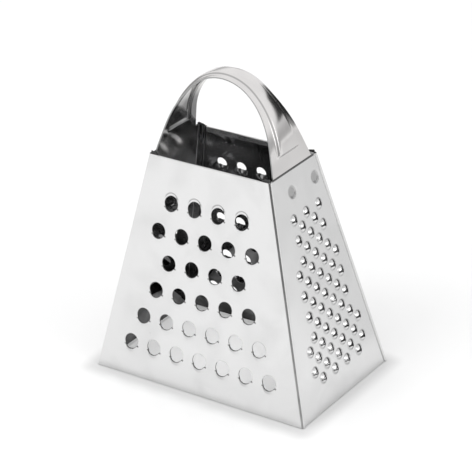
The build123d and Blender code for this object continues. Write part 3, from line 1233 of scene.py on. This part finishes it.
def weld_nugget(bm, plane, middle):
    """A closed disc: a flat back, and a front that sinks a little towards its middle."""
    front = dish_height(weld_hole)
    levels = [(1.0, -sheet)] + [(share, front - sink) for share, sink in nugget_rings]
    rings = []
    for share, z in levels:
        ring = ring_of(middle, (weld_hole - weld_play) * share, weld_spokes)
        rings.append([bm.verts.new(plane @ Vector((*place, z))) for place in ring])
    for outer, inner in zip(rings, rings[1:]):
        for k in range(-1, weld_spokes - 1):
            bm.faces.new((outer[k], outer[k + 1], inner[k + 1], inner[k]))
    bm.faces.new(rings[-1])
    bm.faces.new(list(reversed(rings[0])))


def make_welds(name):
    bm = bmesh.new()
    for width_side, plane in ((1, right_sheet), (-1, left_sheet)):
        for middle in weld_middles(width_side):
            weld_nugget(bm, plane, middle)
    bmesh.ops.recalc_face_normals(bm, faces=bm.faces)
    mesh = mesh_from(name, bm)
    mesh.materials.append(weld_steel)
    mesh.shade_smooth()
    mesh.set_sharp_from_angle(angle=sharp_rim)
    return link_object(name, mesh)


weld_marks = make_welds("weld_marks")
for stamp in (coarse_stamp, coarse_top_stamp, medium_stamp, fine_stamp, weld_stamp):
    bpy.data.objects.remove(stamp)
print("weld marks:", 2 * len(weld_middles(1)))

# %% [markdown]
# ## Stage
# The photograph is a plain white studio shot. Steel only looks like steel if it has something to
# mirror, so the white paper carries painted shade: a painted contact shadow beside the base and,
# out of the picture, a greyer patch towards the back right. The studio has a darker low band and
# one dark card, which give the handle its streaks. These tones are set by places and directions
# in the frame, not by the camera.

# %% Helpers for soft bands of tone
def soft_step(tree, value, low, high):
    """0 at low and 1 at high with soft ends; low may lie above high."""
    return ramp(tree, value, low, high, "SMOOTHSTEP")


def band(tree, value, rise_from, rise_to, fall_from, fall_to):
    """1 between rise_to and fall_from, 0 outside, with soft ends."""
    rising = soft_step(tree, value, rise_from, rise_to)
    falling = soft_step(tree, value, fall_to, fall_from)
    return math_node(tree, "MULTIPLY", rising, falling)


def dimmed(tree, mask, amount):
    """1 where the mask is 0, and less by the amount where it is 1."""
    return math_node(tree, "MULTIPLY_ADD", mask, -amount, 1.0)


print("tone helpers ready")

# %% Floor
paper_half = 3.0
paper_drop = 0.2 * mm
paper_white = 0.95
# On the paper, the picture's right side runs about at right angles to this direction
beside_x, beside_y = 0.889, 0.474
beside_from, beside_to = 96.0 * mm, 117.0 * mm
behind_from, behind_to = -65.0 * mm, -12.0 * mm
# Painted shade: paper greyer out of the picture to the back right, which the side panel mirrors.
far_right_painted_shade = 0.21
# A painted contact shadow in a rim beside the base, moved a little forwards.
contact_shadow_grey = 0.23
contact_shadow_band = (-3.0 * mm, -2.0 * mm, 0.0, 9.0 * mm)
contact_shadow_forwards = 1.5 * mm


def beyond_base(tree, x, y):
    """Distance on the paper from the rim of the base, negative under the grater."""
    past = []
    for value, half in ((x, base_width / 2), (y, base_depth / 2)):
        past.append(math_node(tree, "SUBTRACT", math_node(tree, "ABSOLUTE", value), half))
    squares = [
        math_node(tree, "POWER", math_node(tree, "MAXIMUM", value, 0.0), 2.0) for value in past
    ]
    outside = math_node(tree, "SQRT", math_node(tree, "ADD", *squares))
    under = math_node(tree, "MINIMUM", math_node(tree, "MAXIMUM", *past), 0.0)
    return math_node(tree, "ADD", outside, under)


def paper_tone(tree):
    """Painted shade: greyer beyond the picture's right side, and a painted contact shadow in a soft
    rim beside the base.
    """
    place = node(tree, "ShaderNodeTexCoord").outputs["Object"]
    split = node(tree, "ShaderNodeSeparateXYZ", {0: place}).outputs
    x, y = split["X"], split["Y"]
    rightwards = math_node(tree, "MULTIPLY", x, beside_x)
    rightwards = math_node(tree, "MULTIPLY_ADD", y, beside_y, rightwards)
    off_picture = soft_step(tree, rightwards, beside_from, beside_to)
    backwards = soft_step(tree, math_node(tree, "SUBTRACT", y, x), behind_from, behind_to)
    far_right = dimmed(tree, math_node(tree, "MULTIPLY", off_picture, backwards), far_right_painted_shade)
    forwards = math_node(tree, "ADD", y, contact_shadow_forwards)
    rim = dimmed(tree, band(tree, beyond_base(tree, x, forwards), *contact_shadow_band), contact_shadow_grey)
    return math_node(tree, "MULTIPLY", far_right, rim)


def make_floor():
    corners = [(-1, -1), (1, -1), (1, 1), (-1, 1)]
    paper = mesh_object(
        "floor", [(x * paper_half, y * paper_half, 0.0) for x, y in corners], [(0, 1, 2, 3)]
    )
    paper.location.z = -paper_drop
    material = bpy.data.materials.new("white_paper")
    material.use_nodes = True
    tree = material.node_tree
    shader = tree.nodes["Principled BSDF"].inputs
    feed(tree, shader["Base Color"], mix(tree, paper_tone(tree), rgba(0.0), rgba(paper_white)))
    shader["Roughness"].default_value = 0.9
    shader["Specular IOR Level"].default_value = 0.0
    paper.data.materials.append(material)
    return paper


floor_object = make_floor()
print("floor at", floor_object.location.z)

# %% World: a white studio with a darker low band and one dark card
# Heights are the Z of a direction; each band has a start, a full start, a full end and an end
low_band_heights = (0.00, 0.02, 0.08, 0.32)
wide_card_heights = (0.20, 0.24, 0.46, 0.51)
narrow_card_heights = (0.00, 0.04, 0.44, 0.50)
wide_card_side = (radians(35), radians(39))
narrow_card_side = (radians(58), radians(63))
card_far_side = (radians(87), radians(79))
card_slant = -0.8
low_band_grey = 0.50
card_grey = 0.98


def make_world():
    world = bpy.data.worlds.new("studio")
    bpy.context.scene.world = world
    world.use_nodes = True
    tree = world.node_tree
    tree.nodes.clear()
    way = node(tree, "ShaderNodeTexCoord").outputs["Generated"]
    split = node(tree, "ShaderNodeSeparateXYZ", {0: way}).outputs
    height = split["Z"]
    low_band = dimmed(tree, band(tree, height, *low_band_heights), low_band_grey)
    bearing = math_node(tree, "ARCTAN2", split["Y"], split["X"])
    climb = math_node(tree, "ARCSINE", height)
    leaning = math_node(tree, "MULTIPLY_ADD", climb, card_slant, bearing)
    parts = []
    for turned, side, heights in (
        (leaning, wide_card_side, wide_card_heights),
        (bearing, narrow_card_side, narrow_card_heights),
    ):
        beyond_side = soft_step(tree, turned, *side)
        parts.append(math_node(tree, "MULTIPLY", beyond_side, band(tree, height, *heights)))
    card = math_node(tree, "MAXIMUM", *parts)
    card = math_node(tree, "MULTIPLY", card, soft_step(tree, bearing, *card_far_side))
    level = math_node(tree, "MULTIPLY", low_band, dimmed(tree, card, card_grey))
    light = node(tree, "ShaderNodeBackground", {"Color": rgba(1.0), "Strength": level})
    node(tree, "ShaderNodeOutputWorld", {"Surface": light.outputs[0]})


make_world()
scene = bpy.context.scene
scene.view_settings.view_transform = "Standard"
print("view transform:", scene.view_settings.view_transform)

# %% Soft lamps: a key from the front left, a fill from the right, and one inside the box
def soft_lamp(name, place, target, size, watts):
    data = bpy.data.lights.new(name, "AREA")
    data.shape = "DISK"
    data.size = size
    data.energy = watts
    lamp = link_object(name, data)
    lamp.location = place
    aim = Vector(target) - Vector(place)
    lamp.rotation_euler = aim.to_track_quat("-Z", "Y").to_euler()
    return lamp


body_middle = (0, 0, body_height / 2)
key_lamp = soft_lamp("key", (-0.52, -1.02, 1.25), body_middle, size=0.8, watts=5.0)
key_lamp.visible_glossy = False
soft_lamp("fill", (1.45, -0.1, 0.62), body_middle, size=0.8, watts=3.5)
inner_lamp = soft_lamp(
    "inside", (-0.014, 0.004, 0.094), (-0.014, 0.004, 0), size=0.03, watts=0.057
)
inner_lamp.visible_camera = False
inner_lamp.visible_glossy = False

# %% [markdown]
# ## Camera
# A product shot like this one is taken from far away with a long lens. The angles below were
# worked out from the corners of the body in the photograph, and the small roll is the
# photograph's own.

# %% Place the camera
azimuth = radians(35.467)
elevation = radians(27.102)
roll = radians(-2.457)
distance = 0.95665
picture_pixels = 472
focal_pixels = 2246.25
shift_right_pixels = -1.493
shift_up_pixels = 23.69
target = Vector(body_middle)
ahead = Vector((-sin(azimuth) * cos(elevation), cos(azimuth) * cos(elevation), -sin(elevation)))
level_right = Vector((cos(azimuth), sin(azimuth), 0))
level_up = level_right.cross(ahead)
right = level_right * cos(roll) + level_up * sin(roll)
upward = level_up * cos(roll) - level_right * sin(roll)
camera_data = bpy.data.cameras.new("camera")
camera_data.sensor_width = 36.0
camera_data.lens = focal_pixels / picture_pixels * camera_data.sensor_width
camera_data.shift_x = shift_right_pixels / picture_pixels
camera_data.shift_y = shift_up_pixels / picture_pixels
camera_data.clip_start = 10.0 * mm
camera = link_object("camera", camera_data)
turned = Matrix((right, upward, -ahead)).transposed().to_4x4()
camera.matrix_world = Matrix.Translation(target - ahead * distance) @ turned
scene.camera = camera
print("camera at", [round(value, 3) for value in camera.matrix_world.translation])

# %% [markdown]
# ## The pieces and the frame
# Each piece hides the part of the frame that it stands for and is attached to the body it moves
# with; the finish listed with it is not applied here. Nothing on this grater moves, so everything
# rides on the one body.

# %% Say what each piece stands for
for piece, stands_for, finish in (
    (coarse_panel, "front_panel", "panel_steel"),
    (medium_panel, "back_panel", "panel_steel"),
    (fine_panel, "right_panel", "panel_steel"),
    (slicing_panel, "left_panel", "panel_steel"),
    (strap, "handle", "handle_steel"),
    (weld_marks, "spot_welds", "weld_steel"),
):
    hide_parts(stands_for)
    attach(piece, "root")
    print(piece.name, "stands for", stands_for)
